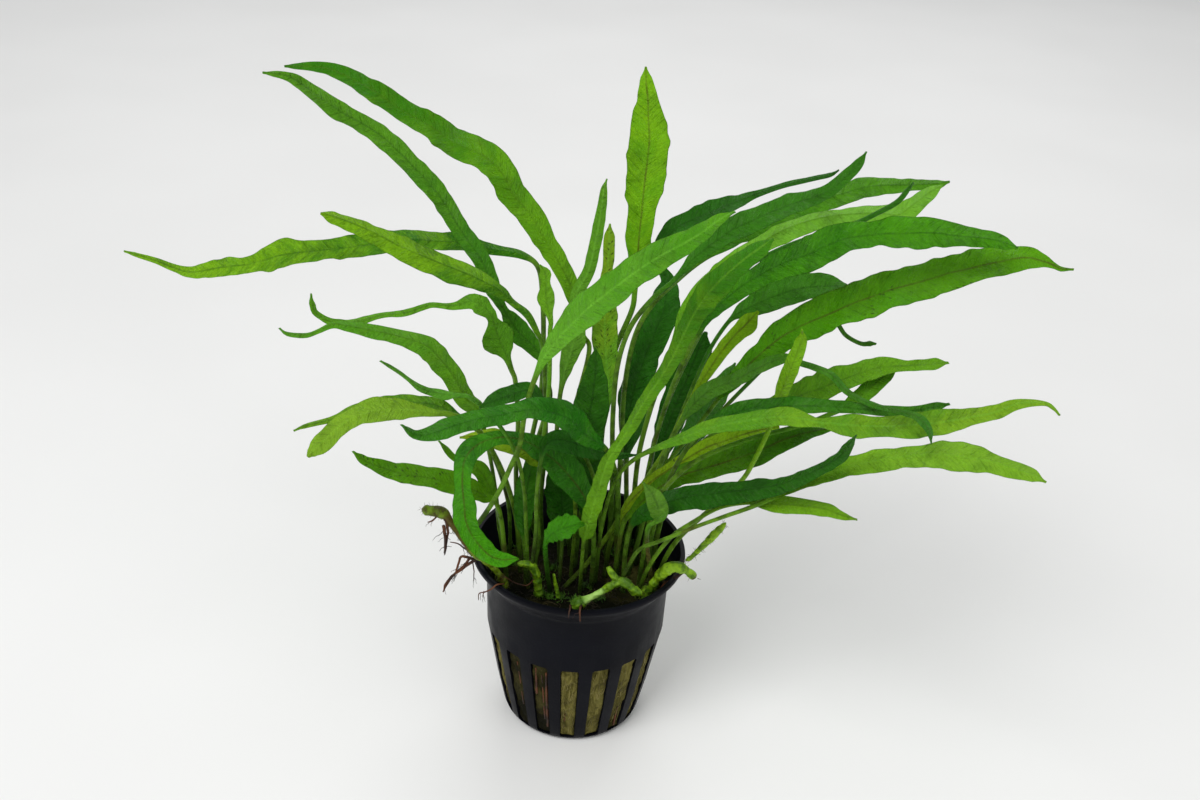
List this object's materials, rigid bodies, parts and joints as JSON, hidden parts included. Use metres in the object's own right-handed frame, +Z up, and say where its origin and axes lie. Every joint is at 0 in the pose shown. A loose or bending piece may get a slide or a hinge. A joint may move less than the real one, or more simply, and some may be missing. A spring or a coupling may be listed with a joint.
{
  "type": "potted java fern",
  "caption": "Narrow leaf java fern with long arching strap leaves on slim stalks, rooted in a plug of rock wool in a small black slotted net pot with a flared rim.",
  "frame": {"origin": "centre of the pot's flat base, on the surface it stands on", "axes": "+Z up along the pot's axis, -Y towards the side seen in the picture, +X to the right in that view"},
  "size_m": [0.2147, 0.1061, 0.1563],
  "materials": {
    "net_pot_black": "satin black plastic",
    "rock_wool": "damp fibrous rock wool",
    "rhizome_brown": "scaly",
    "rhizome_green": "satin, damp",
    "root_dark": "matte, fibrous",
    "leaf_bright_green": "satin, damp leaf",
    "leaf_mid_green": "satin, damp leaf",
    "leaf_dark_green": "satin, damp leaf",
    "leaf_pale_green": "satin, damp leaf",
    "leaf_yellow_green": "satin, damp leaf"
  },
  "bodies": {
    "root": {"net_pot": "net_pot_black", "rock_wool": "rock_wool", "rhizome_left": "rhizome_brown", "rhizome_front": "rhizome_green", "rhizome_middle": "rhizome_green", "rhizome_right": "rhizome_green", "root_left_hanging": "root_dark", "root_left_fork": "root_dark", "stem_right_hairy": "rhizome_green", "leaf_left_top_long": "leaf_bright_green", "leaf_left_top_short": "leaf_mid_green", "leaf_left_far": "leaf_mid_green", "leaf_left_dark": "leaf_dark_green", "leaf_left_small_upright": "leaf_mid_green", "leaf_left_thin_wavy": "leaf_mid_green", "leaf_left_low_behind": "leaf_mid_green", "leaf_left_low_pale": "leaf_pale_green", "leaf_left_arch": "leaf_bright_green", "leaf_left_hooked": "leaf_pale_green", "leaf_left_speckled": "leaf_bright_green", "leaf_left_short": "leaf_mid_green", "leaf_front_dark_arch": "leaf_dark_green", "leaf_centre_dark_short": "leaf_dark_green", "leaf_front_drooping": "leaf_bright_green", "leaf_centre_low_dark": "leaf_dark_green", "leaf_centre_low_left": "leaf_mid_green", "leaf_centre_low_middle": "leaf_dark_green", "leaf_centre_yellow": "leaf_yellow_green", "leaf_centre_upright_slim": "leaf_mid_green", "leaf_centre_upright_spotted": "leaf_yellow_green", "leaf_centre_tall": "leaf_yellow_green", "leaf_front_big_pale": "leaf_pale_green", "leaf_right_upper_dark": "leaf_dark_green", "leaf_right_upper_back": "leaf_dark_green", "leaf_right_light_arch": "leaf_bright_green", "leaf_right_upper_slim": "leaf_mid_green", "leaf_right_thin_dark": "leaf_dark_green", "leaf_right_broad_arch": "leaf_bright_green", "leaf_front_long_strip": "leaf_bright_green", "leaf_right_largest": "leaf_bright_green", "leaf_right_round_tip": "leaf_pale_green", "leaf_right_low_long": "leaf_bright_green", "leaf_right_dark_arch": "leaf_dark_green", "leaf_right_thin_crossing": "leaf_pale_green", "leaf_right_middle_arch": "leaf_mid_green", "leaf_right_middle_short": "leaf_mid_green", "leaf_right_upright_narrow": "leaf_yellow_green", "leaf_right_low_front": "leaf_bright_green", "leaf_right_low_short": "leaf_mid_green", "leaf_right_low_dark": "leaf_dark_green", "leaf_right_inner_arch": "leaf_bright_green", "leaf_right_inner_yellow": "leaf_yellow_green", "leaf_right_yellow_slant": "leaf_yellow_green", "leaf_centre_broad_back": "leaf_dark_green", "leaf_centre_round_dark": "leaf_dark_green", "leaf_small_pale_triangle": "leaf_pale_green", "leaf_small_crinkled": "leaf_bright_green", "leaf_right_thin_curl": "leaf_mid_green", "leaf_back_centre": "leaf_dark_green", "leaf_back_right": "leaf_dark_green"}
  },
  "joints": []
}
